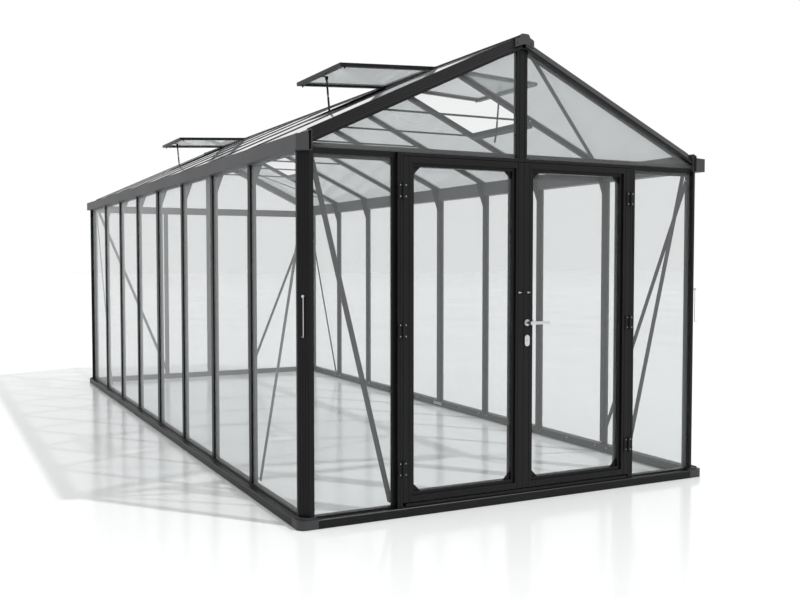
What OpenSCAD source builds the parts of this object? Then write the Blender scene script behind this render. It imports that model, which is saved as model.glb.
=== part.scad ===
/* [House] */
// Width across the outer faces of the corner posts
house_w = 2500; // [2200:10:3000]
// Distance between the centres of neighbouring wall bars
bay_pitch = 744; // [650:1:800]
// Number of bays along each side wall, an even number
bay_count = 8; // [4:2:10]
// Height of the underside of the eaves gutter
eave_h = 1794; // [1750:1:2200]
// Slope of both roof faces, in degrees
roof_pitch = 25; // [20:1:30]
// Extra length of each end bay, up to the outer face of the corner post
end_margin = 80; // [76:1:120]

/* [Frame sections] */
// Outer size of the square corner post and of the gable rafter
post_size = 65; // [62:1:70]
// Length cut off the outer corner of the post, along each face
post_chamfer = 50; // [30:1:50]
// Depth from the post face to the face of the wall bars
face_recess = 15; // [10:1:18]
// Width of the visible face of a wall or roof bar
bar_face_w = 42; // [38:1:50]
// Width of the visible face of the two bars at the middle joint
middle_face_w = 60; // [50:1:70]
// Thickness of the outer cap of a bar
bar_cap_t = 11; // [8:1:14]
// Thickness of the caps of the roof bars, over the roof panes
roof_cap = 4; // [3.5:0.5:8]
// Width of the stem that stands between two panes
bar_stem_w = 20; // [14:1:24]
// Depth of the stem behind the outer face of the glass
bar_stem_d = 26; // [20:1:30]
// Width of the inner flange of a bar
bar_flange_w = 34; // [26:1:40]
// Thickness of the inner flange of a bar
bar_flange_t = 6; // [3:1:8]
// Width of the grooves that run along the bars, posts and rails
groove_w = 3; // [2:1:4]
// Depth of the same grooves
groove_d = 2; // [1:1:3]
// Wall thickness of the hollow sections
wall_t = 2.5; // [2:0.5:3]

/* [Base] */
// Height of the base rail
base_h = 50; // [48:1:56]
// Height of the outer step of the base rail
base_step_h = 44; // [40:1:46]
// Distance that the base rail stands out from the post faces
base_out = 22; // [16:1:30]
// Depth of the base rail behind the post faces
base_in = 56; // [54:1:64]
// Size of the corner connector along each rail
connector_l = 100; // [90:1:120]
// Radius of the outer corner of the connector
connector_r = 40; // [10:1:45]
// Height of the collar around the post foot, above the base rail
collar_h = 4; // [2:1:10]
// Wall of the collar outside the post
collar_t = 8; // [4:1:12]

/* [Glass] */
// Thickness of every pane
glass_t = 4; // [3:1:5]
// Gap between a pane edge and the frame beside it
pane_gap = 1; // [0.5:0.5:2]

/* [Eaves and ridge] */
// Distance that the gutter stands out from the post faces
gutter_out = 22; // [16:1:40]
// Width of the gutter
gutter_w = 62; // [54:1:70]
// Height of the gutter
gutter_h = 74; // [60:1:74]
// Wall thickness of the gutter
gutter_t = 3; // [2:1:4]
// Thickness of the wall plate behind the gutter
plate_t = 20; // [18:1:24]
// Half width of the ridge cap
ridge_cap_w = 36; // [30:1:38]
// Half width of the web under the ridge
ridge_web_w = 12; // [10:1:16]
// Width of the end cover over the ridge
ridge_cover_w = 114; // [104:2:130]
// Thickness of the end covers of ridge and gutters
cover_t = 10; // [5:1:14]

/* [Gables] */
// Height of the transom in each gable
transom_h = 29; // [27:1:34]
// Height of the underside of the transoms
transom_z = 1783; // [1778:1:1785]
// Width of the king post and of the door posts
mullion_w = 65; // [55:1:70]
// Distance of the side mullions of the rear gable from the centre
rear_mullion_x = 465; // [350:5:600]

/* [Doors] */
// Width of one door leaf
leaf_w = 713; // [600:1:760]
// Height of the underside of the leaves
leaf_z = 68; // [66:1:72]
// Height of the top of the door threshold
threshold_h = 62; // [58:1:62]
// Height of the top of the leaves
leaf_top = 1790; // [1780:1:1790]
// Whole thickness of a leaf
leaf_t = 55; // [50:1:60]
// Gap around a leaf, between it and the jamb or the other half gap
leaf_gap = 1; // [1:0.5:3]
// Width of the front face of a stile
stile_face = 48; // [42:1:54]
// Width of the front face of a rail
rail_face = 31; // [28:1:40]
// Width of the bead inside the face, on stiles and rails
bead_w = 17; // [12:1:20]
// Distance from the leaf face back to the bead
bead_set = 12; // [6:1:16]
// Distance from the leaf face back to the glass
leaf_glass_set = 30; // [26:1:34]
// Leg of the triangular corner pieces of the leaf
corner_leg = 42; // [25:1:60]
// Distance that the leaves stand proud of the post faces
leaf_proud = 8; // [4:1:12]
// Visible width of a door jamb
jamb_w = 29; // [24:1:34]

/* [Door hardware] */
// Height of the lever spindle
lever_z = 948; // [850:1:1100]
// Distance of the spindle from the centre line
lever_x = 21; // [18:1:24]
// Length of the lever from its spindle
lever_l = 115; // [90:1:125]
// Radius of the spindle
spindle_r = 4; // [3:0.5:5]
// Running clearance of pins and spindles in their bores
pin_play = 0.05; // [0.02:0.01:0.1]
// Height of the lock cylinder
lock_z = 853; // [820:1:880]
// Height of the screw eyes and wind hooks
hook_z = 1108; // [1000:1:1200]
// Length of a wind hook
hook_l = 190; // [150:1:220]
// Radius of the hinge knuckles of the doors
knuckle_r = 6; // [5:0.5:7]
// Radius of the hinge pins of the doors
hinge_pin_r = 2.5; // [2:0.5:3]

/* [Roof vents] */
// Length of a vent flap, from hinge line to free edge
flap_l = 640; // [500:1:700]
// Thickness of the flap frame
flap_t = 22; // [18:1:24]
// Width of the flap frame members
flap_rail_w = 30; // [24:1:40]
// Side gap between the flap and the roof bars
flap_gap = 2; // [1.5:0.5:4]
// Opening angle at which the flaps are drawn, in degrees
flap_open = 22; // [0:1:22]
// Radius of the vent hinge knuckles
vent_knuckle_r = 4; // [3:0.5:4]
// Length of the stay from its pivot to the peg
stay_l = 246; // [240:1:250]
// Lean of the stay from the vertical, in degrees
stay_lean = 5; // [4:0.5:8]

/* [Bracing] */
// Width of the flat brace bars
brace_w = 27; // [14:1:28]
// Thickness of the flat brace bars
brace_t = 4; // [3:1:6]
// Height of the collar ties
tie_z = 2152; // [2148:1:2200]
// Height of a collar tie bar
tie_h = 12; // [8:1:20]
// Thickness of the knee gussets
gusset_t = 8; // [5:1:20]

/* [Hidden] */
$fn = 48;

half_w = house_w / 2;
half_l = bay_count * bay_pitch / 2 + end_margin;
slope = tan(roof_pitch);
fit_gap = 0.3;
seam = 0.6;
// play between sloping faces that lie on each other
hair = 0.05;
// play between sloping faces that bear on each other
touch = 0.01;
// depths of the layers of a wall or roof, counted inward from the outer face
cap_in = face_recess + bar_cap_t;
glass_in = cap_in + glass_t;
stem_in = cap_in + bar_stem_d;
flange_in = stem_in - bar_flange_t;
// height of the top of the roof bars at the ridge line
roof_rise = 89;
ridge_z = eave_h + roof_rise + (half_w - face_recess) * slope;
roof_glass = roof_cap + glass_t;
roof_stem = roof_cap + bar_stem_d;
roof_flange = roof_stem - bar_flange_t;
plate_x = half_w + gutter_out - gutter_w - plate_t;
gutter_x = half_w + gutter_out;
roof_end_x = half_w - cover_t;
last_bar = bay_count / 2 - 1;
frame_lines = [for (i = [-last_bar:last_bar]) i * bay_pitch];
vent_lines = [-(last_bar - 0.5) * bay_pitch, (last_bar - 0.5) * bay_pitch];
base_mid = half_w - base_in;
// door planes
leaf_front = -half_l - leaf_proud;
post_plane = -half_l + face_recess;
leaf_edge = leaf_gap + leaf_w;
axis_x = leaf_edge + leaf_gap;
axis_y = leaf_front - knuckle_r - fit_gap - 0.2;
lip_back = post_plane - leaf_gap;
leaf_back = leaf_front + leaf_t;
body_inset = 14;
meet_inset = 3;
jamb_x = axis_x + leaf_gap;
door_post_x = leaf_edge - 12;
head_z = leaf_top + 3;
head_h = 15;
leaf_mid_h = (leaf_z + leaf_top) / 2;
hinge_heights = [leaf_z + 170, leaf_mid_h, leaf_top - 170];
hinge_h = 80;
hinge_plate_t = 3;
hinge_plate_w = 22;
knuckle_gap = 0.4;
// vents
vent_axis_x = ridge_cap_w + 6;
vent_axis_d = 2.5;
vent_axis_z = ridge_z - vent_axis_x * slope - vent_axis_d / cos(roof_pitch);
vent_slope = roof_pitch - flap_open;
flap_w = bay_pitch - bar_face_w - 2 * flap_gap;
flap_s0 = 6;
sill_x = vent_axis_x + flap_l * cos(roof_pitch) + 5;
sill_web = 7;
stay_s = flap_l - 60;
stay_n = -flap_t - 5;
stay_x = vent_axis_x + stay_s * cos(vent_slope) + stay_n * sin(vent_slope);
stay_z = vent_axis_z - stay_s * sin(vent_slope) + stay_n * cos(vent_slope);
brace_plane = half_w - post_size;
aluminium = [0.09, 0.09, 0.1];
plastic = [0.27, 0.27, 0.28];
glass_tint = [0.85, 0.89, 0.9, 0.35];
steel = [0.72, 0.73, 0.74];

// height of a roof layer that lies d below the outer roof face, at distance x from the middle
function roof_z(x, d) = ridge_z - x * slope - d / cos(roof_pitch);

// draws a flat outline given in x and z, and makes it y1 - y0 long
module along_y(y0, y1) {
    translate([0, y1, 0])
        rotate([90, 0, 0])
            linear_extrude(y1 - y0)
                children();
}

// draws a flat outline given in y and z, and makes it x1 - x0 long
module along_x(x0, x1) {
    translate([x0, 0, 0])
        rotate([90, 0, 90])
            linear_extrude(x1 - x0)
                children();
}

module both_sides() {
    children();
    mirror([1, 0, 0])
        children();
}

module both_ends() {
    children();
    mirror([0, 1, 0])
        children();
}

// a box given by its low and high corners
module block(low, high) {
    translate(low)
        cube(high - low);
}

// a layer of the right-hand roof face between two distances from the middle and two depths
module roof_layer(x0, x1, d0, d1, y0, y1) {
    along_y(y0, y1)
        polygon([
            [x0, roof_z(x0, d1)],
            [x1, roof_z(x1, d1)],
            [x1, roof_z(x1, d0)],
            [x0, roof_z(x0, d0)]
        ]);
}

// cross-section of a bar: cap with two grooves, stem and inner flange; depth runs along +y
module bar_section(face_w) {
    stem_w = face_w - bar_face_w + bar_stem_w;
    flange_w = face_w - bar_face_w + bar_flange_w;
    difference() {
        translate([-face_w / 2, face_recess])
            square([face_w, bar_cap_t]);
        for (side = [-1, 1])
            translate([side * face_w / 4 - groove_w / 2, face_recess - 1])
                square([groove_w, groove_d + 1]);
    }
    hollow_stem(stem_w, flange_w);
}

// stem and inner flange of a bar, with the chamber inside them
module hollow_stem(stem_w, flange_w) {
    difference() {
        union() {
            translate([-stem_w / 2, cap_in])
                square([stem_w, bar_stem_d]);
            translate([-flange_w / 2, flange_in])
                square([flange_w, bar_flange_t]);
        }
        translate([-stem_w / 2 + wall_t, cap_in + wall_t])
            square([stem_w - 2 * wall_t, bar_stem_d - 2 * wall_t]);
    }
}

// cross-section of a corner post, its outer corner at the origin, cut and grooved
module post_section() {
    side = post_chamfer * sqrt(2);
    difference() {
        polygon([
            [post_chamfer, 0],
            [post_size, 0],
            [post_size, post_size],
            [0, post_size],
            [0, post_chamfer]
        ]);
        translate([post_chamfer, 0])
            rotate(135)
                for (i = [1:4])
                    translate([side * i / 5 - groove_w / 2, -groove_d])
                        square([groove_w, 2 * groove_d]);
        polygon([
            [post_chamfer + 2 * wall_t, 2 * wall_t],
            [post_size - wall_t, 2 * wall_t],
            [post_size - wall_t, post_size - wall_t],
            [2 * wall_t, post_size - wall_t],
            [2 * wall_t, post_chamfer + 2 * wall_t]
        ]);
    }
}

// cross-section of the base rail: distance out from the post face along x, height along y
module base_section() {
    difference() {
        polygon([
            [base_out, 0],
            [base_out, base_step_h - 4],
            [base_out - 3, base_step_h],
            [-face_recess, base_step_h],
            [-face_recess, base_h],
            [-base_in, base_h],
            [-base_in, 0]
        ]);
        for (h = [12, 26])
            translate([base_out - groove_d, h])
                square([groove_d + 1, groove_w + 1]);
        polygon([
            [base_out - 2 * wall_t, 2 * wall_t],
            [base_out - 2 * wall_t, base_step_h - 2 * wall_t],
            [-face_recess - wall_t, base_step_h - 2 * wall_t],
            [-face_recess - wall_t, base_h - wall_t],
            [-base_in + wall_t, base_h - wall_t],
            [-base_in + wall_t, 2 * wall_t]
        ]);
    }
}

// rails round the whole foot, those of the long sides in two lengths
module base_rails() {
    run_x = half_w + base_out - connector_l;
    run_y = half_l + base_out - connector_l;
    color(aluminium)
        both_ends() {
            along_x(-run_x, run_x)
                translate([half_l, 0])
                    base_section();
            both_sides()
                along_y(seam / 2, run_y)
                    translate([half_w, 0])
                        base_section();
        }
}

// a square plate with one rounded corner at [far, far]
module rounded_corner_square(near, far, r) {
    translate([near, near])
        square([far - near, far - near - r]);
    translate([near, near])
        square([far - near - r, far - near]);
    translate([far - r, far - r])
        circle(r);
}

// plastic corner piece that joins two base rails and holds the foot of the post
module base_corner_connectors() {
    reach = connector_l;
    color(plastic)
        both_sides()
            both_ends()
                translate([half_w + base_out - reach, half_l + base_out - reach, 0])
                    difference() {
                        union() {
                            linear_extrude(base_step_h)
                                rounded_corner_square(0, reach, connector_r);
                            linear_extrude(base_h)
                                rounded_corner_square(0, reach - base_out + collar_t, connector_r - 4);
                            translate([0, 0, base_h])
                                linear_extrude(collar_h)
                                    rounded_corner_square(
                                        reach - base_out - post_size,
                                        reach - base_out + collar_t,
                                        connector_r - 4
                                    );
                        }
                        translate([reach - base_out + 0.1, reach - base_out + 0.1, base_h])
                            rotate(180)
                                linear_extrude(collar_h + 1)
                                    square(post_size + 10);
                    }
}

// splice plates behind the joints of the side base rails
module base_joiners() {
    color(steel)
        both_sides()
            block([base_mid - 3, -70, 12], [base_mid, 70, base_h - 12]);
}

module corner_posts() {
    color(aluminium)
        both_sides()
            both_ends()
                translate([half_w, half_l, base_h])
                    rotate(180)
                        linear_extrude(eave_h - base_h)
                            post_section();
}

// one upright bar of the right-hand wall
module side_bar(y, face_w) {
    translate([half_w, y, base_h])
        rotate(90)
            linear_extrude(eave_h - base_h)
                bar_section(face_w);
}

module side_bars_right() {
    color(aluminium)
        for (y = frame_lines)
            side_bar(y, y == 0 ? middle_face_w : bar_face_w);
}

module side_bars_left() {
    mirror([1, 0, 0])
        side_bars_right();
}

// gutter trough with the wall plate that carries the lower ends of the roof bars
module gutter_section() {
    inner_x = gutter_x - gutter_w;
    floor_t = 2 * gutter_t;
    difference() {
        polygon([
            [plate_x, eave_h],
            [gutter_x, eave_h],
            [gutter_x, eave_h + gutter_h],
            [gutter_x - 2 * gutter_t, eave_h + gutter_h],
            [gutter_x - 2 * gutter_t, eave_h + gutter_h - gutter_t],
            [gutter_x - gutter_t, eave_h + gutter_h - gutter_t],
            [gutter_x - gutter_t, eave_h + floor_t],
            [inner_x + gutter_t, eave_h + floor_t],
            [inner_x + gutter_t, roof_z(inner_x + gutter_t, roof_glass + hair)],
            [plate_x, roof_z(plate_x, roof_glass + hair)]
        ]);
        polygon([
            [plate_x + wall_t, eave_h + wall_t],
            [inner_x, eave_h + wall_t],
            [inner_x, roof_z(inner_x, roof_glass + wall_t)],
            [plate_x + wall_t, roof_z(plate_x + wall_t, roof_glass + wall_t)]
        ]);
    }
}

module eaves_gutters() {
    color([0.37, 0.37, 0.38])
        both_sides()
            both_ends()
                along_y(seam / 2, half_l)
                    gutter_section();
}

// lining that bridges the gutter joint at the middle of each side
module gutter_joiners() {
    inner_x = gutter_x - gutter_w + gutter_t;
    color(plastic)
        both_sides()
            block(
                [inner_x, -50, eave_h + 2 * gutter_t],
                [gutter_x - gutter_t, 50, eave_h + 3 * gutter_t]
            );
}

module gutter_end_caps() {
    color(plastic)
        both_sides()
            both_ends()
                along_y(half_l, half_l + 4)
                    polygon([
                        [gutter_x - gutter_w - 2, eave_h],
                        [gutter_x + 1, eave_h],
                        [gutter_x + 1, eave_h + gutter_h + 1],
                        [gutter_x - gutter_w - 2, eave_h + gutter_h + 5]
                    ]);
}

// half width of the flat along the top of the ridge
ridge_flat = 14;

module ridge_half_section() {
    chamber_x = ridge_web_w - wall_t;
    difference() {
        polygon([
            [0, roof_z(ridge_flat, -5)],
            [ridge_flat, roof_z(ridge_flat, -5)],
            [ridge_cap_w, roof_z(ridge_cap_w, -5)],
            [ridge_cap_w, roof_z(ridge_cap_w, roof_cap)],
            [ridge_web_w, roof_z(ridge_web_w, roof_cap)],
            [ridge_web_w, roof_z(ridge_web_w, post_size)],
            [0, roof_z(ridge_web_w, post_size)]
        ]);
        polygon([
            [-1, roof_z(ridge_flat, wall_t)],
            [chamber_x, roof_z(ridge_flat, wall_t)],
            [chamber_x, roof_z(ridge_web_w, post_size - 2 * wall_t)],
            [-1, roof_z(ridge_web_w, post_size - 2 * wall_t)]
        ]);
    }
}

module ridge_beam() {
    color(aluminium)
        both_ends()
            along_y(seam / 2, half_l)
                union() {
                    ridge_half_section();
                    mirror([1, 0])
                        ridge_half_section();
                }
}

// end cover over the meeting rafters, with two screw bosses
module ridge_end_covers() {
    w = ridge_cover_w / 2;
    top = roof_z(ridge_flat, -6);
    color(plastic)
        both_ends() {
            along_y(half_l, half_l + cover_t)
                polygon([
                    [-w, top - 72],
                    [0, top - 52],
                    [w, top - 72],
                    [w, top - 34],
                    [w - 6, top - 28],
                    [31, top - 18],
                    [27, top - 6],
                    [18, top],
                    [-18, top],
                    [-27, top - 6],
                    [-31, top - 18],
                    [-w + 6, top - 28],
                    [-w, top - 34]
                ]);
            for (side = [-1, 1])
                translate([side * (w - 14), half_l + cover_t, top - 48])
                    rotate([-90, 0, 0])
                        cylinder(h = 3, r = 7);
        }
}

// one roof bar of the right-hand slope, from the ridge web to the wall plate
module roof_bar(y, face_w) {
    stem_w = face_w - bar_face_w + bar_stem_w;
    flange_w = face_w - bar_face_w + bar_flange_w;
    difference() {
        roof_layer(ridge_cap_w, roof_end_x, 0, roof_cap, y - face_w / 2, y + face_w / 2);
        for (side = [-1, 1])
            roof_layer(
                ridge_cap_w - 1, roof_end_x + 1, -1, groove_d,
                y + side * face_w / 4 - groove_w / 2, y + side * face_w / 4 + groove_w / 2
            );
    }
    difference() {
        union() {
            roof_layer(ridge_web_w, plate_x, roof_cap, roof_stem, y - stem_w / 2, y + stem_w / 2);
            roof_layer(
                ridge_web_w, plate_x, roof_flange, roof_stem, y - flange_w / 2, y + flange_w / 2
            );
        }
        roof_layer(
            ridge_web_w - 1, plate_x + 1, roof_cap + wall_t, roof_stem - wall_t,
            y - stem_w / 2 + wall_t, y + stem_w / 2 - wall_t
        );
    }
}

module roof_bars_right() {
    color(aluminium)
        for (y = frame_lines)
            roof_bar(y, y == 0 ? middle_face_w : bar_face_w);
}

module roof_bars_left() {
    mirror([1, 0, 0])
        roof_bars_right();
}

// right-hand gable rafter, the corner post section laid along the slope and cut plumb
module gable_rafter() {
    reach = house_w;
    intersection() {
        translate([0, 0, ridge_z])
            rotate([0, roof_pitch, 0])
                along_x(-post_size, reach)
                    translate([-half_l, 0])
                        mirror([0, 1])
                            post_section();
        along_y(-half_l - 1, -half_l + post_size + 1)
            polygon([
                [ridge_web_w, roof_z(ridge_web_w, roof_cap)],
                [ridge_cap_w, roof_z(ridge_cap_w, roof_cap)],
                [ridge_cap_w, roof_z(ridge_cap_w, -post_size)],
                [plate_x, roof_z(plate_x, -post_size)],
                [plate_x, roof_z(plate_x, 2 * post_size)],
                [ridge_web_w, roof_z(ridge_web_w, 2 * post_size)]
            ]);
    }
}

module gable_rafters() {
    color(aluminium)
        both_ends()
            both_sides()
                gable_rafter();
}

// bar section whose stem keeps the ordinary width under any face width
module bar_section_wide(face_w) {
    difference() {
        translate([-face_w / 2, face_recess])
            square([face_w, bar_cap_t]);
        for (side = [-1, 0, 1])
            translate([side * face_w / 4 - groove_w / 2, face_recess - 1])
                square([groove_w, groove_d + 1]);
    }
    hollow_stem(bar_stem_w, min(bar_flange_w, face_w));
}

// horizontal bars across the gables, between the corner posts, each with a tall inner plate
module transoms() {
    run = half_w - post_size;
    plate_top = transom_z + transom_h + 28;
    plate_depth = 4;
    cut_d = post_size + 1;
    cut_x = (ridge_z - cut_d / cos(roof_pitch) - plate_top) / slope;
    color(aluminium)
        both_ends() {
            along_x(-run, run)
                translate([half_l, transom_z + transom_h / 2])
                    rotate(90)
                        bar_section_wide(transom_h);
            difference() {
                along_y(half_l - stem_in - plate_depth, half_l - stem_in)
                    polygon([
                        [-run, transom_z - 15],
                        [run, transom_z - 15],
                        [run, roof_z(run, cut_d)],
                        [cut_x, plate_top],
                        [-cut_x, plate_top],
                        [-run, roof_z(run, cut_d)]
                    ]);
                for (side = [-1, 1])
                    translate([side * gable_brace_top[0], half_l - stem_in, gable_brace_top[1]])
                        rotate([90, 0, 0])
                            cylinder(h = 4 * plate_depth, r = 5.3, center = true);
            }
        }
}

// upright from the transom to the meeting of the rafters, its top cut to the slope
module gable_upright(face_w, z0) {
    intersection() {
        translate([0, -half_l, z0])
            linear_extrude(ridge_z - z0)
                bar_section(face_w);
        along_y(-half_l, -half_l + post_size)
            polygon([
                [-mullion_w, z0],
                [mullion_w, z0],
                [mullion_w, roof_z(mullion_w, post_size)],
                [ridge_web_w, roof_z(ridge_web_w, post_size)],
                [-ridge_web_w, roof_z(ridge_web_w, post_size)],
                [-mullion_w, roof_z(mullion_w, post_size)]
            ]);
    }
}

module king_post() {
    color(aluminium)
        gable_upright(mullion_w, transom_z + transom_h);
}

// three lower mullions and one upper mullion of the rear gable
module rear_mullions() {
    color(aluminium)
        mirror([0, 1, 0]) {
            for (x = [-rear_mullion_x, 0, rear_mullion_x])
                translate([x, -half_l, base_h])
                    linear_extrude(transom_z - base_h)
                        bar_section(bar_face_w);
            gable_upright(bar_face_w, transom_z + transom_h);
        }
}

// posts beside the doorway, with a rebate for the side pane
module door_posts() {
    x1 = door_post_x + mullion_w;
    color(aluminium)
        both_sides()
            translate([0, 0, base_h])
                linear_extrude(transom_z - base_h)
                    difference() {
                        polygon([
                            [door_post_x, post_plane],
                            [x1, post_plane],
                            [x1, -half_l + cap_in],
                            [x1 - bar_cap_t, -half_l + cap_in],
                            [x1 - bar_cap_t, -half_l + stem_in],
                            [door_post_x, -half_l + stem_in]
                        ]);
                        translate([x1 - 12, post_plane - 1])
                            square([groove_w, groove_d + 1]);
                    }
}

// two upright jambs, the head jamb proud of the post faces, and the threshold
module door_jambs() {
    top = head_z + head_h;
    color(aluminium)
        difference() {
            union() {
                both_sides()
                    block([jamb_x, leaf_front, base_step_h], [jamb_x + jamb_w, post_plane, top]);
                block([-jamb_x - 1, leaf_front, head_z], [jamb_x + 1, post_plane, top]);
                block(
                    [-door_post_x + fit_gap, leaf_front - 6, base_h],
                    [door_post_x - fit_gap, leaf_back, threshold_h]
                );
                block([-jamb_x - 1, leaf_front, base_step_h], [jamb_x + 1, post_plane - 0.3, base_h]);
            }
            both_sides()
                block(
                    [jamb_x + jamb_w / 2, leaf_front - 1, base_step_h - 1],
                    [jamb_x + jamb_w / 2 + groove_w, leaf_front + groove_d, top + 1]
                );
        }
}

// flat bar with round ends in the x-y plane, from point a to point b
module flat_bar(a, b, w) {
    run = b - a;
    translate(a)
        rotate(atan2(run[1], run[0])) {
            translate([0, -w / 2])
                square([norm(run), w]);
            circle(w / 2);
            translate([norm(run), 0])
                circle(w / 2);
        }
}

// places of the brace ends
wall_brace_top = [half_l - 50, eave_h - 50];
wall_brace_low = [last_bar * bay_pitch + 20, base_h + 22];
gable_brace_top = [half_w - post_size - 10, transom_z + transom_h / 2 - 2];
front_brace_low = [door_post_x + mullion_w / 2 + 18, base_h + 22];
rear_brace_low = [rear_mullion_x + 6, base_h + 22];

// diagonal bars in the four corner bays of the side walls
module wall_braces() {
    color(aluminium)
        both_sides()
            both_ends()
                along_x(brace_plane - brace_t, brace_plane)
                    flat_bar(wall_brace_low, wall_brace_top, brace_w);
}

// diagonal bars in the side panels of both gables
module gable_braces() {
    y0 = half_l - post_size - brace_t;
    color(aluminium)
        both_sides() {
            along_y(y0, y0 + brace_t)
                flat_bar(rear_brace_low, gable_brace_top, brace_w);
            mirror([0, 1, 0])
                along_y(y0, y0 + brace_t)
                    flat_bar(front_brace_low, gable_brace_top, brace_w);
        }
}

// diagonal bars under the four corner bays of the roof
module roof_braces() {
    y_far = half_l - post_size;
    y_bar = last_bar * bay_pitch;
    top = [70 / cos(roof_pitch), y_far + 10];
    low = [(half_w - 110) / cos(roof_pitch), y_bar + 16];
    color(aluminium)
        both_sides()
            both_ends()
                intersection() {
                    translate([0, 0, ridge_z])
                        rotate([0, roof_pitch, 0])
                            translate([0, 0, -roof_stem - brace_t - touch])
                                linear_extrude(brace_t)
                                    flat_bar(top, low, brace_w);
                    block([0, 0, eave_h], [half_w, y_far, ridge_z]);
                }
}

// plates in the angle between wall bar and roof bar
module knee_gussets() {
    x_wall = half_w - stem_in;
    x_far = x_wall - 66;
    color(aluminium)
        both_sides()
            for (y = frame_lines)
                along_y(y - gusset_t / 2, y + gusset_t / 2)
                    polygon([
                        [x_wall, eave_h - 110],
                        [x_wall, eave_h],
                        [plate_x, eave_h],
                        [plate_x, roof_z(plate_x, roof_stem + touch)],
                        [x_far, roof_z(x_far, roof_stem + touch)],
                        [x_far, roof_z(x_far, roof_stem) - 24]
                    ]);
}

tie_top = tie_z + tie_h / 2;
tie_x = min(
    (ridge_z - (roof_glass + 0.5) / cos(roof_pitch) - tie_top) / slope,
    sill_x - 36
);
tie_bolt_x = (ridge_z - (roof_stem - 3) / cos(roof_pitch) - tie_z) / slope;

// distance from a frame line to the side of the inner flange
function flange_side(y) = bar_flange_w / 2 + (y == 0 ? (middle_face_w - bar_face_w) / 2 : 0);

// side of its frame line on which a tie lies: +1, or -1 where a vent bay is on the + side
function tie_side(y) = min([for (v = vent_lines) abs(v - y - bay_pitch / 2)]) < 1 ? -1 : 1;

// flat ties between opposite roof bars
module collar_ties() {
    color(aluminium)
        for (y = frame_lines) {
            y0 = y + tie_side(y) * flange_side(y);
            y1 = y0 + tie_side(y) * brace_t;
            block([-tie_x, min(y0, y1), tie_z - tie_h / 2], [tie_x, max(y0, y1), tie_top]);
        }
}

// y positions of the two edges of each pane, without the pane gaps
stem_half = bar_stem_w / 2 + pane_gap;
function stem_at(i) = stem_half + (i == 0 ? (middle_face_w - bar_face_w) / 2 : 0);
function pane_y0(i) = i == -last_bar - 1 ? -half_l + post_size + pane_gap / 2
    : i * bay_pitch + stem_at(i);
function pane_y1(i) = i == last_bar ? half_l - post_size - pane_gap / 2
    : (i + 1) * bay_pitch - stem_at(i + 1);

module side_glass_right() {
    color(glass_tint)
        for (i = [-last_bar - 1:last_bar])
            block(
                [half_w - glass_in, pane_y0(i), base_h],
                [half_w - cap_in, pane_y1(i), eave_h - 0.5]
            );
}

module side_glass_left() {
    mirror([1, 0, 0])
        side_glass_right();
}

// the bays that hold a vent have glass only below the vent sill
function has_vent(i) = abs(i + 0.5) == last_bar - 0.5;

module roof_glass_right() {
    color(glass_tint)
        for (i = [-last_bar - 1:last_bar])
            roof_layer(
                has_vent(i) ? sill_x + sill_web + pane_gap : ridge_web_w + pane_gap,
                half_w - face_recess,
                roof_cap + touch, roof_glass, pane_y0(i), pane_y1(i)
            );
}

module roof_glass_left() {
    mirror([1, 0, 0])
        roof_glass_right();
}

// right-hand pane above the transom, from the upright to the eaves
module gable_top_pane(upright_w) {
    x0 = (upright_w - bar_face_w + bar_stem_w) / 2 + pane_gap;
    x1 = plate_x - pane_gap;
    z0 = transom_z + transom_h / 2 + bar_stem_w / 2;
    along_y(-half_l + cap_in, -half_l + glass_in)
        polygon([
            [x0, z0],
            [x1, z0],
            [x1, roof_z(x1, post_size) - pane_gap],
            [x0, roof_z(x0, post_size) - pane_gap]
        ]);
}

// right-hand pane below the transom between two distances from the middle
module gable_low_pane(x0, x1) {
    z1 = transom_z + transom_h / 2 - bar_stem_w / 2 - pane_gap;
    block([x0, -half_l + cap_in, base_h], [x1, -half_l + glass_in, z1]);
}

module front_gable_glass() {
    color(glass_tint)
        both_sides() {
            gable_top_pane(mullion_w);
            gable_low_pane(
                door_post_x + mullion_w - bar_cap_t + pane_gap,
                half_w - post_size - pane_gap / 2
            );
        }
}

module rear_gable_glass() {
    color(glass_tint)
        mirror([0, 1, 0])
            both_sides() {
                gable_top_pane(bar_face_w);
                gable_low_pane(stem_half, rear_mullion_x - stem_half);
                gable_low_pane(
                    rear_mullion_x + stem_half,
                    half_w - post_size - pane_gap / 2
                );
            }
}

// a bolt head standing along +y
module head_y(x, y, z) {
    translate([x, y, z])
        rotate([-90, 0, 0])
            cylinder(h = 4, r = 6, $fn = 6);
}

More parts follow.
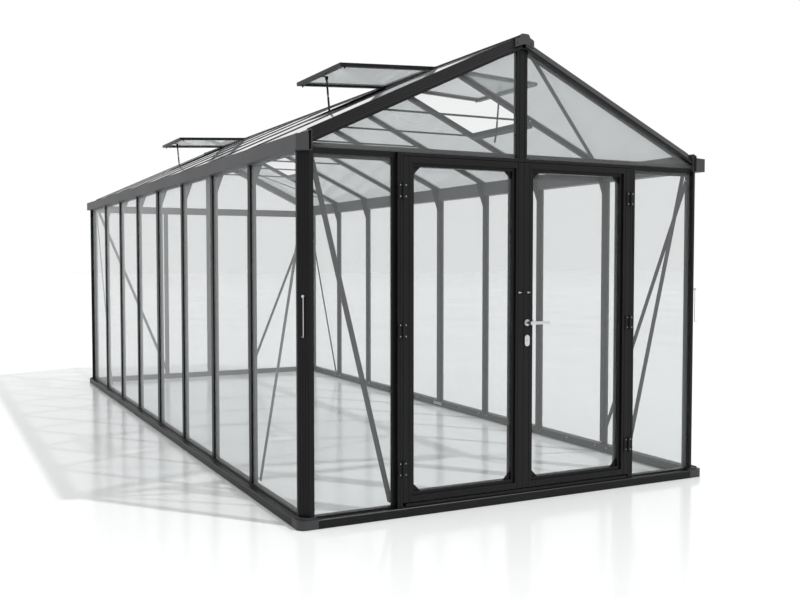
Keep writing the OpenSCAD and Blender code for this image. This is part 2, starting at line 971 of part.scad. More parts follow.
// bolt heads on gussets and ties, spacers and heads at the brace ends
module frame_bolts() {
    x_wall = half_w - stem_in;
    spacer = post_size - stem_in;
    y_in = half_l - stem_in;
    color(steel)
        both_sides() {
            for (y = frame_lines) {
                head_y(x_wall - 12, y + gusset_t / 2, eave_h - 27);
                head_y(x_wall - 36, y + gusset_t / 2, eave_h + 52);
                translate([tie_bolt_x, y + tie_side(y) * (flange_side(y) + brace_t + 2), tie_z])
                    rotate([90, 0, 0])
                        cylinder(h = 4, r = 6, center = true, $fn = 6);
            }
            both_ends() {
                translate([brace_plane, wall_brace_low[0] - 8, wall_brace_low[1]])
                    rotate([0, 90, 0])
                        cylinder(h = spacer, r = 5);
                for (p = [wall_brace_low, wall_brace_top])
                    translate([brace_plane - brace_t, p[0], p[1]])
                        rotate([0, -90, 0])
                            cylinder(h = 4, r = 6, $fn = 6);
                translate([gable_brace_top[0], y_in, gable_brace_top[1]])
                    rotate([90, 0, 0])
                        cylinder(h = spacer, r = 5);
                translate([gable_brace_top[0], y_in - spacer - brace_t, gable_brace_top[1]])
                    rotate([90, 0, 0])
                        cylinder(h = 4, r = 6, $fn = 6);
            }
            brace_foot(rear_brace_low[0], rear_brace_low[1], y_in, spacer);
            mirror([0, 1, 0])
                brace_foot(front_brace_low[0], front_brace_low[1], y_in, spacer);
        }
}

// spacer and bolt head at the foot of a gable brace
module brace_foot(x, z, y_in, spacer) {
    translate([x - 3, y_in, z])
        rotate([90, 0, 0])
            cylinder(h = spacer, r = 5);
    translate([x, y_in - spacer - brace_t, z])
        rotate([90, 0, 0])
            cylinder(h = 4, r = 6, $fn = 6);
}

// frame of one vent opening: side curbs, sill, stay bracket with its peg, and hinge knuckles
module vent_curb(y) {
    half = bay_pitch / 2 - bar_stem_w / 2;
    lip = bay_pitch / 2 - bar_face_w / 2 - 0.5;
    seat = flap_t + 0.5;
    low = roof_flange - hair;
    for (side = [-1, 1])
        roof_layer(
            ridge_web_w, sill_x, seat, low,
            y + (side > 0 ? half - 16 : -half), y + (side > 0 ? half : -half + 16)
        );
    sill_in = sill_x - 18;
    roof_layer(sill_in, sill_x + 20, seat, low, y - half, y + half);
    roof_layer(sill_in, sill_x + 20, low, low + 14, y - half + 16, y + half - 16);
    roof_layer(sill_x, sill_x + sill_web, roof_cap - 3, seat, y - lip, y + lip);
    roof_layer(sill_x, sill_x + 22, roof_cap - 3, roof_cap - hair, y - lip, y + lip);
    translate([0, y, 0]) {
        block(
            [sill_x - 52, 8, roof_z(sill_in, low + 14)],
            [sill_in + 1, 14, roof_z(sill_in, seat)]
        );
        translate([stay_x - stay_l * sin(stay_lean), 2.5, stay_z - stay_l * cos(stay_lean)])
            rotate([-90, 0, 0])
                cylinder(h = 6, r = 3);
    }
    for (side = [-1, 1])
        translate([vent_axis_x, y + side * vent_hinge_y, vent_axis_z])
            rotate([90, 0, 0]) {
                for (end = [-1, 1])
                    translate([0, 0, end * 22])
                        cylinder(h = 16, r = vent_knuckle_r, center = true);
                cylinder(h = 50, r = vent_pin_r, center = true);
                for (end = [-1, 1])
                    translate([-6, -vent_knuckle_r + 1, end * 22 - 8])
                        cube([6, 4, 16]);
            }
}

vent_hinge_y = flap_w / 2 - 60;
vent_pin_r = 1.8;

module vent_curbs() {
    color(aluminium)
        both_sides()
            for (y = vent_lines)
                vent_curb(y);
}

// one vent flap with its knuckles, corner studs and stay lug, drawn at its open angle
module vent_flap(y) {
    top = 2.5;
    half = flap_w / 2;
    translate([vent_axis_x, y, vent_axis_z])
        rotate([0, vent_slope, 0])
            difference() {
                union() {
                    difference() {
                        block([flap_s0, -half, top - flap_t], [flap_l, half, top]);
                        block(
                            [flap_s0 + flap_rail_w, -half + flap_rail_w, -flap_t],
                            [flap_l - flap_rail_w, half - flap_rail_w, top + 1]
                        );
                        block(
                            [flap_s0 + flap_rail_w - 10, -half + flap_rail_w - 10, -8],
                            [flap_l - flap_rail_w + 10, half - flap_rail_w + 10, -8 + glass_t]
                        );
                        for (side = [-1, 1])
                            for (end = [-1, 1])
                                translate([-1, side * vent_hinge_y + end * 22 - 9, -flap_t])
                                    cube([flap_s0 + 2, 18, 2 * flap_t]);
                    }
                    for (side = [-1, 1])
                        translate([0, side * vent_hinge_y, 0]) {
                            rotate([90, 0, 0])
                                cylinder(h = 27, r = vent_knuckle_r, center = true);
                            block([0, -13.5, -vent_knuckle_r], [flap_s0 + 2, 13.5, top]);
                            translate([flap_l - 34, side * (half - 15 - vent_hinge_y), top - flap_t - 9])
                                cylinder(h = 9.5, r = 5);
                        }
                    stay_lug();
                }
                for (side = [-1, 1])
                    translate([0, side * vent_hinge_y, 0])
                        rotate([90, 0, 0])
                            cylinder(h = 40, r = vent_pin_r + pin_play, center = true);
            }
}

// two ears and the rivet that carry the top of the stay
module stay_lug() {
    low = 2.5 - flap_t;
    translate([stay_s, 0, 0]) {
        block([-8, -7, low], [flap_l - flap_rail_w - stay_s + 2, 7, low + 5]);
        for (side = [-1, 1])
            block(
                [-8, side * 4.5 - 2.5, stay_n - 7],
                [8, side * 4.5 + 2.5, low + 0.5]
            );
        translate([0, 0, stay_n])
            rotate([90, 0, 0])
                cylinder(h = 10, r = 2.5, center = true);
    }
}

module vent_front_right() {
    color(aluminium)
        vent_flap(vent_lines[0]);
}

module vent_front_left() {
    mirror([1, 0, 0])
        vent_front_right();
}

module vent_rear_right() {
    color(aluminium)
        vent_flap(vent_lines[1]);
}

module vent_rear_left() {
    mirror([1, 0, 0])
        vent_rear_right();
}

module vent_pane(y) {
    play = 0.5;
    inset = flap_rail_w - 10 + play;
    color(glass_tint)
        translate([vent_axis_x, y, vent_axis_z])
            rotate([0, vent_slope, 0])
                block(
                    [flap_s0 + inset, -flap_w / 2 + inset, -8],
                    [flap_l - inset, flap_w / 2 - inset, -8 + glass_t]
                );
}

module vent_glass_front_right() {
    vent_pane(vent_lines[0]);
}

module vent_glass_front_left() {
    mirror([1, 0, 0])
        vent_glass_front_right();
}

module vent_glass_rear_right() {
    vent_pane(vent_lines[1]);
}

module vent_glass_rear_left() {
    mirror([1, 0, 0])
        vent_glass_rear_right();
}

// cranked casement stay that hangs from the lug; its holes take the peg on the sill
module vent_stay(y) {
    t = 3;
    w = 12;
    tail = 72;
    crank = 5;
    color(aluminium)
        translate([stay_x, y, stay_z])
            rotate([0, stay_lean, 0])
                difference() {
                    along_y(-t / 2, t / 2) {
                        circle(w / 2);
                        translate([-w / 2, -stay_l])
                            square([w, stay_l]);
                        translate([0, -stay_l])
                            rotate(-crank) {
                                circle(w / 2);
                                translate([-w / 2, -tail])
                                    square([w, tail]);
                                translate([0, -tail])
                                    circle(w / 2);
                            }
                    }
                    rotate([90, 0, 0])
                        cylinder(h = 10, r = 2.5 + pin_play, center = true);
                    for (i = [0:2])
                        translate([0, 0, -stay_l + 70 * i])
                            rotate([90, 0, 0])
                                cylinder(h = 10, r = 3.4, center = true);
                }
}

module vent_stay_front_right() {
    vent_stay(vent_lines[0]);
}

module vent_stay_front_left() {
    mirror([1, 0, 0])
        vent_stay_front_right();
}

module vent_stay_rear_right() {
    vent_stay(vent_lines[1]);
}

module vent_stay_rear_left() {
    mirror([1, 0, 0])
        vent_stay_rear_right();
}

// right-hand leaf frame: front lip over the rebate, body behind it, pane pocket, hinge knuckles
module door_leaf_frame(with_lock) {
    glass_y = leaf_front + leaf_glass_set;
    inner = stile_face + bead_w;
    color(aluminium)
        difference() {
            union() {
                block([leaf_gap, leaf_front, leaf_z], [leaf_edge, lip_back, leaf_top]);
                block(
                    [leaf_gap + meet_inset, lip_back - 1, threshold_h + 4],
                    [leaf_edge - body_inset, leaf_back, transom_z - 4]
                );
                for (z = hinge_heights)
                    moving_hinge_leaf(z);
            }
            block(
                [leaf_gap + stile_face, leaf_front - 1, leaf_z + rail_face],
                [leaf_edge - stile_face, leaf_front + bead_set, leaf_top - rail_face]
            );
            block(
                [leaf_gap + inner, leaf_front, leaf_z + rail_face + bead_w],
                [leaf_edge - inner, leaf_back + 1, leaf_top - rail_face - bead_w]
            );
            block(
                [leaf_gap + inner - 12, glass_y, leaf_z + rail_face + bead_w - 12],
                [leaf_edge - inner + 12, glass_y + glass_t, leaf_top - rail_face - bead_w + 12]
            );
            for (x = [leaf_gap + stile_face * 0.7, leaf_edge - stile_face * 0.7])
                block([x, leaf_front - 1, leaf_z - 1], [x + groove_w, leaf_front + groove_d, leaf_top + 1]);
            for (z = hinge_heights)
                translate([axis_x, axis_y, z])
                    cylinder(h = hinge_h, r = hinge_pin_r + pin_play, center = true);
            if (with_lock)
                lock_mortise();
        }
}

// pocket for the lock case, and the bores for spindle and lock cylinder
module lock_mortise() {
    block(
        [0, lock_y0, lock_low],
        [case_back, lock_y1, lock_high]
    );
    translate([lever_x, leaf_front - 1, lever_z])
        rotate([-90, 0, 0])
            cylinder(h = leaf_t + 2, r = spindle_r + pin_play);
    translate([lever_x, leaf_front - 1, lock_z])
        rotate([-90, 0, 0])
            cylinder(h = leaf_t + 2, r = cylinder_r);
}

lock_y0 = leaf_front + 24;
lock_y1 = leaf_front + 38;
lock_low = lock_z - 40;
lock_high = lever_z + 40;
case_back = lever_x + 22;
cylinder_r = 8.5;
rose_t = 6;

// half hinge that turns with the leaf; its middle knuckle has the bore
module moving_hinge_leaf(z) {
    third = hinge_h / 3 - knuckle_gap;
    x_far = axis_x - leaf_gap - 0.4;
    clear = knuckle_r + knuckle_gap;
    translate([0, 0, z]) {
        block(
            [axis_x - hinge_plate_w - clear, leaf_front - hinge_plate_t, -hinge_h / 2],
            [axis_x - clear, leaf_front, hinge_h / 2]
        );
        block(
            [axis_x - clear - 1, leaf_front - hinge_plate_t, -third / 2],
            [x_far, leaf_front, third / 2]
        );
        translate([axis_x, axis_y, 0])
            cylinder(h = third, r = knuckle_r, center = true);
    }
}

// half hinge that stays on the jamb, with two knuckles and the pin
module fixed_hinge_leaf(z) {
    third = hinge_h / 3;
    clear = knuckle_r + knuckle_gap;
    x_near = axis_x + leaf_gap;
    translate([0, 0, z]) {
        block(
            [axis_x + clear, leaf_front - hinge_plate_t, -hinge_h / 2],
            [axis_x + hinge_plate_w + clear, leaf_front, hinge_h / 2]
        );
        for (end = [-1, 1])
            translate([0, 0, end * third]) {
                block(
                    [x_near, leaf_front - hinge_plate_t, -third / 2],
                    [axis_x + clear + 1, leaf_front, third / 2]
                );
                translate([axis_x, axis_y, 0])
                    cylinder(h = third, r = knuckle_r, center = true);
            }
        translate([axis_x, axis_y, 0])
            cylinder(h = hinge_h, r = hinge_pin_r, center = true);
    }
}

module fixed_hinge_leaves() {
    color(aluminium)
        both_sides()
            for (z = hinge_heights)
                fixed_hinge_leaf(z);
}

module right_door_frame() {
    door_leaf_frame(true);
}

module left_door_frame() {
    mirror([1, 0, 0])
        door_leaf_frame(false);
}

module right_door_glass() {
    glass_y = leaf_front + leaf_glass_set;
    edge = stile_face + bead_w - 11.5;
    rail = rail_face + bead_w - 11.5;
    color(glass_tint)
        block(
            [leaf_gap + edge, glass_y, leaf_z + rail],
            [leaf_edge - edge, glass_y + glass_t, leaf_top - rail]
        );
}

module left_door_glass() {
    mirror([1, 0, 0])
        right_door_glass();
}

// triangular plates in the four corners of the opening, in front of the glass
module right_door_corners() {
    glass_y = leaf_front + leaf_glass_set;
    inner = stile_face + bead_w;
    x0 = leaf_gap + inner;
    x1 = leaf_edge - inner;
    z0 = leaf_z + rail_face + bead_w;
    z1 = leaf_top - rail_face - bead_w;
    color(aluminium)
        along_y(glass_y - 6, glass_y)
            for (x = [[x0, 1], [x1, -1]])
                for (z = [[z0, 1], [z1, -1]])
                    polygon([
                        [x[0], z[0]],
                        [x[0] + x[1] * corner_leg, z[0]],
                        [x[0], z[0] + z[1] * corner_leg]
                    ]);
}

module left_door_corners() {
    mirror([1, 0, 0])
        right_door_corners();
}

// screw eye on the meeting stile, which the wind hook catches
module right_door_eye() {
    color(steel)
        translate([28, leaf_front, hook_z])
            rotate([90, 0, 0]) {
                cylinder(h = 2, r = 5);
                cylinder(h = 7, r = 2);
                translate([0, 0, 11])
                    rotate([90, 0, 0])
                        rotate_extrude()
                            translate([5, 0])
                                circle(1.6, $fn = 24);
            }
}

module left_door_eye() {
    mirror([1, 0, 0])
        right_door_eye();
}

// lock case with its face plate and latch, inside the meeting stile
module lock_case() {
    color(steel)
        difference() {
            block([leaf_gap + 0.2, lock_y0, lock_low], [case_back, lock_y1, lock_high]);
            translate([lever_x, lock_y0 - 1, lever_z])
                rotate([-90, 0, 0])
                    cylinder(h = 20, r = spindle_r + pin_play);
            translate([lever_x, lock_y0 - 1, lock_z])
                rotate([-90, 0, 0])
                    cylinder(h = 20, r = cylinder_r);
        }
}

module lock_cylinder() {
    color(steel)
        translate([lever_x, leaf_front - rose_t - 2, lock_z])
            rotate([-90, 0, 0])
                difference() {
                    cylinder(h = leaf_t + 2 * rose_t + 4, r = cylinder_r);
                    translate([-0.8, -4, -1])
                        cube([1.6, 8, 9]);
                }
}

// round roses of the levers and long plates of the lock cylinder, on both faces of the leaf
module door_roses() {
    color(steel)
        for (y = [leaf_front, leaf_back + rose_t])
            difference() {
                translate([lever_x, y, lever_z])
                    rotate([90, 0, 0])
                        cylinder(h = rose_t, r = 17);
                translate([lever_x, y + 1, lever_z])
                    rotate([90, 0, 0])
                        cylinder(h = rose_t + 2, r = spindle_r + pin_play);
            }
    color(steel)
        for (y = [leaf_front, leaf_back + rose_t])
            difference() {
                along_y(y - rose_t, y) {
                    for (end = [-1, 1])
                        translate([lever_x, lock_z + end * 15])
                            circle(15);
                    translate([lever_x - 15, lock_z - 15])
                        square([30, 30]);
                }
                translate([lever_x, y + 1, lock_z])
                    rotate([90, 0, 0])
                        cylinder(h = rose_t + 2, r = cylinder_r);
            }
}

// lever on one face: neck and rounded bar
module lever(reach) {
    rotate([90, 0, 0])
        cylinder(h = reach, r = 9);
    translate([0, -reach - 5, 0]) {
        rotate([90, 0, 0])
            cylinder(h = 12, r = 10, center = true);
        block([0, -6, -8], [lever_l - 8, 6, 8]);
        translate([lever_l - 8, 0, 0])
            rotate([90, 0, 0])
                cylinder(h = 12, r = 8, center = true);
    }
}

// both levers on their common spindle
module lever_handle() {
    reach = 34;
    color(steel)
        translate([lever_x, 0, lever_z]) {
            translate([0, leaf_front - rose_t - fit_gap, 0])
                lever(reach);
            translate([0, leaf_back + rose_t + fit_gap, 0])
                mirror([0, 1, 0])
                    lever(reach);
            translate([0, leaf_front - rose_t - 4, 0])
                rotate([-90, 0, 0])
                    cylinder(h = leaf_t + 2 * rose_t + 8, r = spindle_r);
        }
}

// shoulder screw on the chamfer of each front corner post; the axis of the wind hook
module hook_screws() {
    color(steel)
        both_sides()
            at_hook() {
                cylinder(h = 16, r = 3);
                translate([0, 0, 6 + fit_gap + 6])
                    cylinder(h = 4, r = 6);
                cylinder(h = 6, r = 6);
            }
}

// moves to the middle of the right front chamfer, +z standing out from it and +y pointing up
module at_hook() {
    rib = post_chamfer / 2;
    translate([half_w - rib, -half_l + rib, hook_z])
        rotate([0, 0, 45])
            rotate([90, 0, 0])
                children();
}

// round ring, long rod and bent tip, hanging from the shoulder screw
module wind_hook_right() {
    ring_t = 5;
    rod_r = 2.2;
    color(steel)
        at_hook()
            translate([0, 0, 6 + fit_gap + ring_t / 2]) {
                difference() {
                    union() {
                        cylinder(h = ring_t, r = 7, center = true);
                        translate([0, -5, 0])
                            rotate([90, 0, 0])
                                cylinder(h = hook_l, r = rod_r);
                    }
                    cylinder(h = ring_t + 2, r = 3 + pin_play, center = true);
                }
                translate([0, -hook_l, 0])
                    cylinder(h = 16, r = rod_r - 0.4);
            }
}

module wind_hook_left() {
    mirror([1, 0, 0])
        wind_hook_right();
}

base_rails();
base_corner_connectors();
base_joiners();
corner_posts();
side_bars_left();
side_bars_right();
eaves_gutters();
gutter_joiners();
gutter_end_caps();
ridge_beam();
ridge_end_covers();
roof_bars_left();
roof_bars_right();
gable_rafters();
transoms();
king_post();
rear_mullions();
door_posts();
door_jambs();
wall_braces();
gable_braces();
roof_braces();
knee_gussets();
collar_ties();
side_glass_left();
side_glass_right();
roof_glass_left();
roof_glass_right();
front_gable_glass();
rear_gable_glass();
frame_bolts();
vent_curbs();
fixed_hinge_leaves();
hook_screws();
left_door_frame();
left_door_glass();
left_door_corners();
left_door_eye();
right_door_frame();
right_door_glass();
right_door_corners();
right_door_eye();
lock_case();
lock_cylinder();
door_roses();
lever_handle();
wind_hook_left();
wind_hook_right();
vent_front_left();
vent_front_right();
vent_rear_left();
vent_rear_right();
vent_glass_front_left();
vent_glass_front_right();
vent_glass_rear_left();
vent_glass_rear_right();
vent_stay_front_left();
vent_stay_front_right();
vent_stay_rear_left();
vent_stay_rear_right();
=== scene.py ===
import bpy
import math
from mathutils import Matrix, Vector


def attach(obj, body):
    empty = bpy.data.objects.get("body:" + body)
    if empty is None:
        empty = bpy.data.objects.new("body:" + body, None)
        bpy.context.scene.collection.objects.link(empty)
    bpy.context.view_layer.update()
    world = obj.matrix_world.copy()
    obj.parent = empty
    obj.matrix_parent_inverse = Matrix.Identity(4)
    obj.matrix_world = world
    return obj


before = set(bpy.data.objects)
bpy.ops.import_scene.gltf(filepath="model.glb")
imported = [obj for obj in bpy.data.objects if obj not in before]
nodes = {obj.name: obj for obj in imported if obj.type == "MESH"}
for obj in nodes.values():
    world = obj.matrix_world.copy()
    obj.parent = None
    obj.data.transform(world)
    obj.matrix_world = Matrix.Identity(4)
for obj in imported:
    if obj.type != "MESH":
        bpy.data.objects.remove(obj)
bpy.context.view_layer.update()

# ---------------------------------------------------------------------------
# Aluminium sections: corner posts, wall and roof bars, rails, rafters, mullions.
# The real ones are extruded and then powder coated satin black, so they are
# dark and even, with a very fine orange peel and soft light along each rib.


def linear(hex_colour):
    """An sRGB hex colour as linear RGBA."""
    parts = [int(hex_colour[i:i + 2], 16) / 255 for i in (1, 3, 5)]
    flat = [c / 12.92 if c <= 0.04045 else ((c + 0.055) / 1.055) ** 2.4 for c in parts]
    return (*flat, 1.0)


def add(tree, kind, settings=None, links=None):
    """Adds a node; settings fill attributes or input sockets, links join outputs to its inputs."""
    made = tree.nodes.new(kind)
    for name, value in (settings or {}).items():
        if hasattr(made, name):
            setattr(made, name, value)
        else:
            made.inputs[name].default_value = value
    for name, source in (links or {}).items():
        tree.links.new(source, made.inputs[name])
    return made


def new_material(name):
    """An empty node material with an output, and its shared Object coordinates."""
    material = bpy.data.materials.new(name)
    material.use_nodes = True
    tree = material.node_tree
    tree.nodes.clear()
    place = add(tree, "ShaderNodeTexCoord").outputs["Object"]
    return material, tree, place


def powder_coat(name, dark, light, roughness, peel_mm=1.6):
    """Powder coat on aluminium: baked polymer film with orange peel and slight tone drift."""
    material, tree, place = new_material(name)
    drift = add(tree, "ShaderNodeTexNoise", {"Scale": 2.2, "Detail": 3.0}, {"Vector": place})
    tone = add(tree, "ShaderNodeValToRGB", None, {"Fac": drift.outputs["Fac"]})
    tone.color_ramp.elements[0].position = 0.35
    tone.color_ramp.elements[0].color = linear(dark)
    tone.color_ramp.elements[1].position = 0.7
    tone.color_ramp.elements[1].color = linear(light)
    peel = add(
        tree, "ShaderNodeTexNoise",
        {"Scale": 1000 / peel_mm / 2, "Detail": 2.0, "Roughness": 0.45}, {"Vector": place},
    )
    rub = add(
        tree, "ShaderNodeMapRange",
        {"From Min": 0.3, "From Max": 0.7, "To Min": roughness - 0.04, "To Max": roughness + 0.05},
        {"Value": peel.outputs["Fac"]},
    )
    edge = add(tree, "ShaderNodeBevel", {"samples": 4, "Radius": 0.0009})
    bump = add(
        tree, "ShaderNodeBump", {"Strength": 0.12, "Distance": 0.0002},
        {"Height": peel.outputs["Fac"], "Normal": edge.outputs["Normal"]},
    )
    shader = add(
        tree, "ShaderNodeBsdfPrincipled", {"IOR": 1.3},
        {"Base Color": tone.outputs["Color"], "Roughness": rub.outputs["Result"],
         "Normal": bump.outputs["Normal"]},
    )
    add(tree, "ShaderNodeOutputMaterial", None, {"Surface": shader.outputs["BSDF"]})
    return material


def coat(material, names):
    """Gives CAD nodes one material."""
    for name in names:
        mesh = nodes[name].data
        mesh.materials.clear()
        mesh.materials.append(material)


black_coat = powder_coat("satin black powder-coated aluminium", "#080808", "#0e0e0f", 0.4)
coat(black_coat, [
    "base_rails", "corner_posts", "side_bars_left", "side_bars_right", "ridge_beam",
    "roof_bars_left", "roof_bars_right", "gable_rafters", "transoms", "king_post",
    "rear_mullions", "door_posts", "door_jambs", "knee_gussets", "vent_curbs",
    "fixed_hinge_leaves", "left_door_frame", "right_door_frame",
    "left_door_corners", "right_door_corners",
    "vent_front_left", "vent_front_right", "vent_rear_left", "vent_rear_right",
])

# ---------------------------------------------------------------------------
# Flat braces, ties and vent stays: aluminium strip, sheared to length and coated
# a touch greyer than the extrusions, with a slightly rougher face.

strip_coat = powder_coat("charcoal powder-coated strip", "#161617", "#1f1f20", 0.46)
coat(strip_coat, [
    "wall_braces", "gable_braces", "roof_braces", "collar_ties",
    "vent_stay_front_left", "vent_stay_front_right",
    "vent_stay_rear_left", "vent_stay_rear_right",
])

# ---------------------------------------------------------------------------
# Eaves gutters: extruded aluminium troughs along both long sides, coated dark
# grey; the flat outer face catches the sky and reads lighter than the posts.

gutter_coat = powder_coat("dark grey powder-coated gutter", "#434345", "#4c4c4e", 0.5)
coat(gutter_coat, ["eaves_gutters"])

# ---------------------------------------------------------------------------
# Corner connectors, ridge covers, gutter ends: injection-moulded dark grey nylon
# with a fine spark-eroded texture, matt beside the coated metal.


def moulded_plastic(name, colour, grain_mm=0.9):
    """Moulded nylon: even colour, matt, with a fine eroded grain from the tool."""
    material, tree, place = new_material(name)
    grain = add(
        tree, "ShaderNodeTexVoronoi", {"Scale": 1000 / grain_mm / 2}, {"Vector": place},
    )
    cloud = add(tree, "ShaderNodeTexNoise", {"Scale": 9.0, "Detail": 2.0}, {"Vector": place})
    # a Mix node's colour sockets share their names with its number ones, so they go by index
    colour_a, colour_b, colour_result = 6, 7, 2
    worn_lift = 1.25
    tone = add(tree, "ShaderNodeMix", {"data_type": "RGBA"}, {"Factor": cloud.outputs["Fac"]})
    tone.inputs[colour_a].default_value = linear(colour)
    tone.inputs[colour_b].default_value = tuple(c * worn_lift for c in linear(colour)[:3]) + (1.0,)
    bump = add(
        tree, "ShaderNodeBump", {"Strength": 0.2, "Distance": 0.0002},
        {"Height": grain.outputs["Distance"]},
    )
    shader = add(
        tree, "ShaderNodeBsdfPrincipled", {"IOR": 1.53, "Roughness": 0.55},
        {"Base Color": tone.outputs[colour_result], "Normal": bump.outputs["Normal"]},
    )
    add(tree, "ShaderNodeOutputMaterial", None, {"Surface": shader.outputs["BSDF"]})
    return material


grey_nylon = moulded_plastic("moulded grey nylon", "#252527")
coat(grey_nylon, [
    "base_corner_connectors", "gutter_joiners", "gutter_end_caps", "ridge_end_covers",
])

# ---------------------------------------------------------------------------
# Bright hardware: lever pair, roses, lock, screw eyes and wind hooks in brushed
# stainless steel, the bolts zinc plated. Fine lines run along the brushing.


def brushed_steel(name, colour, roughness, line_mm=0.5):
    """Brushed stainless steel: a metal with fine parallel scratches along x."""
    material, tree, place = new_material(name)
    along = 12
    across = 1000 / line_mm
    stretch = add(
        tree, "ShaderNodeMapping", {"Scale": (along, across, across)}, {"Vector": place},
    )
    lines = add(
        tree, "ShaderNodeTexNoise", {"Scale": 1.0, "Detail": 2.0},
        {"Vector": stretch.outputs["Vector"]},
    )
    rub = add(
        tree, "ShaderNodeMapRange",
        {"To Min": roughness - 0.06, "To Max": roughness + 0.08}, {"Value": lines.outputs["Fac"]},
    )
    bump = add(
        tree, "ShaderNodeBump", {"Strength": 0.08, "Distance": 0.0001},
        {"Height": lines.outputs["Fac"]},
    )
    shader = add(
        tree, "ShaderNodeBsdfPrincipled",
        {"Base Color": linear(colour), "Metallic": 1.0},
        {"Roughness": rub.outputs["Result"], "Normal": bump.outputs["Normal"]},
    )
    add(tree, "ShaderNodeOutputMaterial", None, {"Surface": shader.outputs["BSDF"]})
    return material


steel = brushed_steel("brushed stainless steel", "#c9cacc", 0.28)
coat(steel, [
    "lever_handle", "door_roses", "lock_cylinder", "lock_case", "left_door_eye",
    "right_door_eye", "wind_hook_left", "wind_hook_right", "hook_screws",
])
zinc = brushed_steel("zinc-plated steel", "#9fa1a3", 0.4, 1.5)
coat(zinc, ["frame_bolts", "base_joiners"])

# ---------------------------------------------------------------------------
# Small screws: pan heads along the inside of the base rails, and smaller ones on the
# hinge plates and the lock's long plate. The real ones are cold-headed steel with a
# domed edge and a driven recess.

quarter_turn = math.pi / 2


def screw_heads(name, places, turn, radius, height, body, paint):
    """Pan heads with a recess, all in mm; places are their centres, turn aims +Z outward."""
    dome_in, dome_up = 0.18, 0.25
    land_in = 0.3
    recess_in, recess_down = 0.06, 0.5
    heads = []
    for place in places:
        bpy.ops.object.select_all(action="DESELECT")
        bpy.ops.mesh.primitive_cylinder_add(
            vertices=20, radius=radius / 1000, depth=height / 1000,
            location=[c / 1000 for c in place], rotation=turn,
        )
        head = bpy.context.object
        bpy.ops.object.mode_set(mode="EDIT")
        bpy.ops.mesh.select_all(action="DESELECT")
        bpy.ops.object.mode_set(mode="OBJECT")
        for face in head.data.polygons:
            face.select = face.normal.z > 0.9
        bpy.ops.object.mode_set(mode="EDIT")
        bpy.ops.mesh.select_mode(type="FACE")
        bpy.ops.mesh.inset(thickness=radius * dome_in / 1000, depth=height * dome_up / 1000)
        bpy.ops.mesh.inset(thickness=radius * land_in / 1000, depth=0)
        bpy.ops.mesh.inset(
            thickness=radius * recess_in / 1000, depth=-height * recess_down / 1000,
        )
        bpy.ops.object.mode_set(mode="OBJECT")
        heads.append(head)
    bpy.ops.object.select_all(action="DESELECT")
    for head in heads:
        head.select_set(True)
    bpy.context.view_layer.objects.active = heads[0]
    bpy.ops.object.join()
    bpy.ops.object.transform_apply(location=True, rotation=True, scale=True)
    made = bpy.context.object
    made.name = name
    bpy.ops.object.shade_smooth_by_angle(angle=math.radians(35))
    made.data.materials.append(paint)
    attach(made, body)


# base rails: one screw on each side of a wall bar and one in the middle of a bay
bay_pitch = 744
beside_bar = 60
rail_screw_x = 1192.6
rail_screw_z = 34
rail_ys = [
    bay * bay_pitch + step
    for bay in range(-3, 4) for step in (-beside_bar, beside_bar, bay_pitch / 2)
]
for side, hand, turn in (
    (-1, "left", (0, quarter_turn, 0)), (1, "right", (0, -quarter_turn, 0)),
):
    screw_heads(
        "rail_screws_" + hand, [(side * rail_screw_x, y, rail_screw_z) for y in rail_ys],
        turn, 6, 3, "frame", zinc,
    )

# hinges: two screws in each half, so the moving half's go with the leaf
to_front = (quarter_turn, 0, 0)
hinge_screw_y = -3067.6
moving_half_x = 700
fixed_half_x = 730
hinge_zs = [height + step for height in (238, 929, 1620) for step in (-28, 28)]
for side, hand, door in ((-1, "left", "left_door"), (1, "right", "right_door")):
    screw_heads(
        "moving_hinge_screws_" + hand,
        [(side * moving_half_x, hinge_screw_y, z) for z in hinge_zs],
        to_front, 3.2, 1.4, door, zinc,
    )
    screw_heads(
        "fixed_hinge_screws_" + hand,
        [(side * fixed_half_x, hinge_screw_y, z) for z in hinge_zs],
        to_front, 3.2, 1.4, "frame", zinc,
    )

# long plate: one screw above and one below the lock cylinder
lock_x, lock_screw_y, lock_z = 21, -3070.4, 853
screw_heads(
    "lock_plate_screws", [(lock_x, lock_screw_y, lock_z + step) for step in (-24, 24)],
    to_front, 2.6, 1.2, "right_door", steel,
)
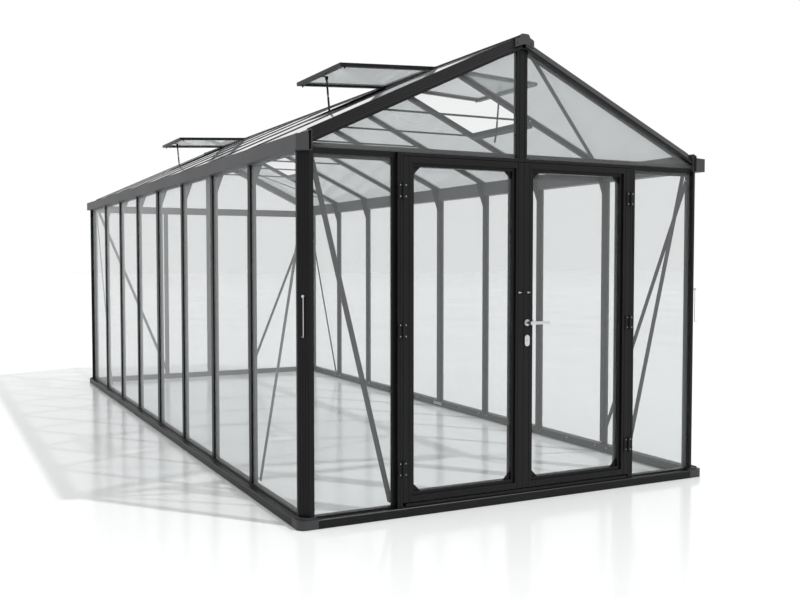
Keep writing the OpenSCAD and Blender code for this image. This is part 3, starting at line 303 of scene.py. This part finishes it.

# ---------------------------------------------------------------------------
# Panes: 4 mm toughened float glass, cut to size and polished by the float bath.
# Clear in the walls, grey-tinted in the roof, and a soft mirror of the surround, partly painted as
# a pale diffuse face colour.


def float_glass(name, tint, painted_veil):
    """Float glass: tinted see-through, a thin uneven veil of painted reflection, and a mirror
    rising to the edge-on view, partly painted by a pale diffuse face.
    """
    material, tree, place = new_material(name)
    cloud = add(tree, "ShaderNodeTexNoise", {"Scale": 0.9, "Detail": 2.0}, {"Vector": place})
    # painted reflection: even head-on a small share of the pane shows the pale diffuse face, made
    # uneven by noise
    uneven = 0.015
    painted_veil_level = add(
        tree, "ShaderNodeMapRange", {"To Min": painted_veil - uneven, "To Max": painted_veil + uneven},
        {"Value": cloud.outputs["Fac"]},
    )
    mirror = add(tree, "ShaderNodeFresnel", {"IOR": 1.5})
    share = add(
        tree, "ShaderNodeMapRange", {"To Max": 1.0},
        {"Value": mirror.outputs["Fac"], "To Min": painted_veil_level.outputs["Result"]},
    )
    clear = add(tree, "ShaderNodeBsdfTransparent", {"Color": linear(tint)})
    # the face's pale base colour is painted reflection of the white surround; only its specular is
    # real reflection
    face = add(
        tree, "ShaderNodeBsdfPrincipled",
        {"Base Color": linear("#e3e6e7"), "Roughness": 0.03, "IOR": 1.5},
    )
    both = add(tree, "ShaderNodeMixShader")
    tree.links.new(share.outputs["Result"], both.inputs[0])
    tree.links.new(clear.outputs["BSDF"], both.inputs[1])
    tree.links.new(face.outputs["BSDF"], both.inputs[2])
    # the far face of the slab adds nothing, so a pane counts once
    side = add(tree, "ShaderNodeNewGeometry")
    plain = add(tree, "ShaderNodeBsdfTransparent", {"Color": linear("#ffffff")})
    once = add(tree, "ShaderNodeMixShader")
    tree.links.new(side.outputs["Backfacing"], once.inputs[0])
    tree.links.new(both.outputs["Shader"], once.inputs[1])
    tree.links.new(plain.outputs["BSDF"], once.inputs[2])
    add(tree, "ShaderNodeOutputMaterial", None, {"Surface": once.outputs["Shader"]})
    return material


wall_glass = float_glass("clear toughened float glass", "#eeefef", 0.07)
coat(wall_glass, [
    "side_glass_left", "side_glass_right", "front_gable_glass", "rear_gable_glass",
    "left_door_glass", "right_door_glass",
])
roof_glass = float_glass("grey-tinted toughened roof glass", "#c6c9ca", 0.08)
coat(roof_glass, [
    "roof_glass_left", "roof_glass_right", "vent_glass_front_left", "vent_glass_front_right",
    "vent_glass_rear_left", "vent_glass_rear_right",
])

# ---------------------------------------------------------------------------
# Studio: pale glossy floor, white surround, a fairly crisp key from the front right
# and a camera at eye height off the front left corner.

bpy.ops.object.select_all(action="DESELECT")
bpy.ops.mesh.primitive_plane_add(size=160, location=(0, 0, -0.0015))
floor = bpy.context.object
floor.name = "studio_floor"
floor_paint, floor_tree, floor_place = new_material("pale lacquered floor")
floor_noise = add(
    floor_tree, "ShaderNodeTexNoise", {"Scale": 0.6, "Detail": 2.0}, {"Vector": floor_place},
)
floor_rub = add(
    floor_tree, "ShaderNodeMapRange", {"To Min": 0.1, "To Max": 0.2},
    {"Value": floor_noise.outputs["Fac"]},
)
floor_shader = add(
    floor_tree, "ShaderNodeBsdfPrincipled", {"Base Color": linear("#ebecec"), "IOR": 1.35},
    {"Roughness": floor_rub.outputs["Result"]},
)
add(floor_tree, "ShaderNodeOutputMaterial", None, {"Surface": floor_shader.outputs["BSDF"]})
floor.data.materials.append(floor_paint)

world = bpy.data.worlds.new("white surround")
bpy.context.scene.world = world
world.use_nodes = True
sky = world.node_tree
sky.nodes.clear()
seen = add(sky, "ShaderNodeLightPath")
backdrop = add(sky, "ShaderNodeBackground", {"Color": linear("#ffffff"), "Strength": 1.0})
fill = add(sky, "ShaderNodeBackground", {"Color": linear("#ffffff"), "Strength": 0.95})
blend = add(sky, "ShaderNodeMixShader")
sky.links.new(seen.outputs["Is Camera Ray"], blend.inputs[0])
sky.links.new(fill.outputs["Background"], blend.inputs[1])
sky.links.new(backdrop.outputs["Background"], blend.inputs[2])
add(sky, "ShaderNodeOutputWorld", None, {"Surface": blend.outputs["Shader"]})

key = bpy.data.lights.new("key", "SUN")
key.energy = 2.0
key.angle = math.radians(1.6)
key_object = bpy.data.objects.new("key", key)
key_object.rotation_euler = Vector((-0.93, 1.14, -1.87)).to_track_quat("-Z", "Y").to_euler()
bpy.context.collection.objects.link(key_object)

camera = bpy.data.cameras.new("view")
camera.sensor_width = 36
camera.lens = 42.64
camera.clip_end = 200
camera_object = bpy.data.objects.new("view", camera)
camera_object.location = (-2.846, -7.228, 1.280)
azimuth = math.radians(-26.914)
drop = math.radians(2.424)
look = Vector((
    -math.sin(azimuth) * math.cos(drop), math.cos(azimuth) * math.cos(drop), -math.sin(drop),
))
camera_object.rotation_euler = look.to_track_quat("-Z", "Y").to_euler()
bpy.context.collection.objects.link(camera_object)
bpy.context.scene.camera = camera_object
bpy.context.scene.view_settings.view_transform = "Standard"
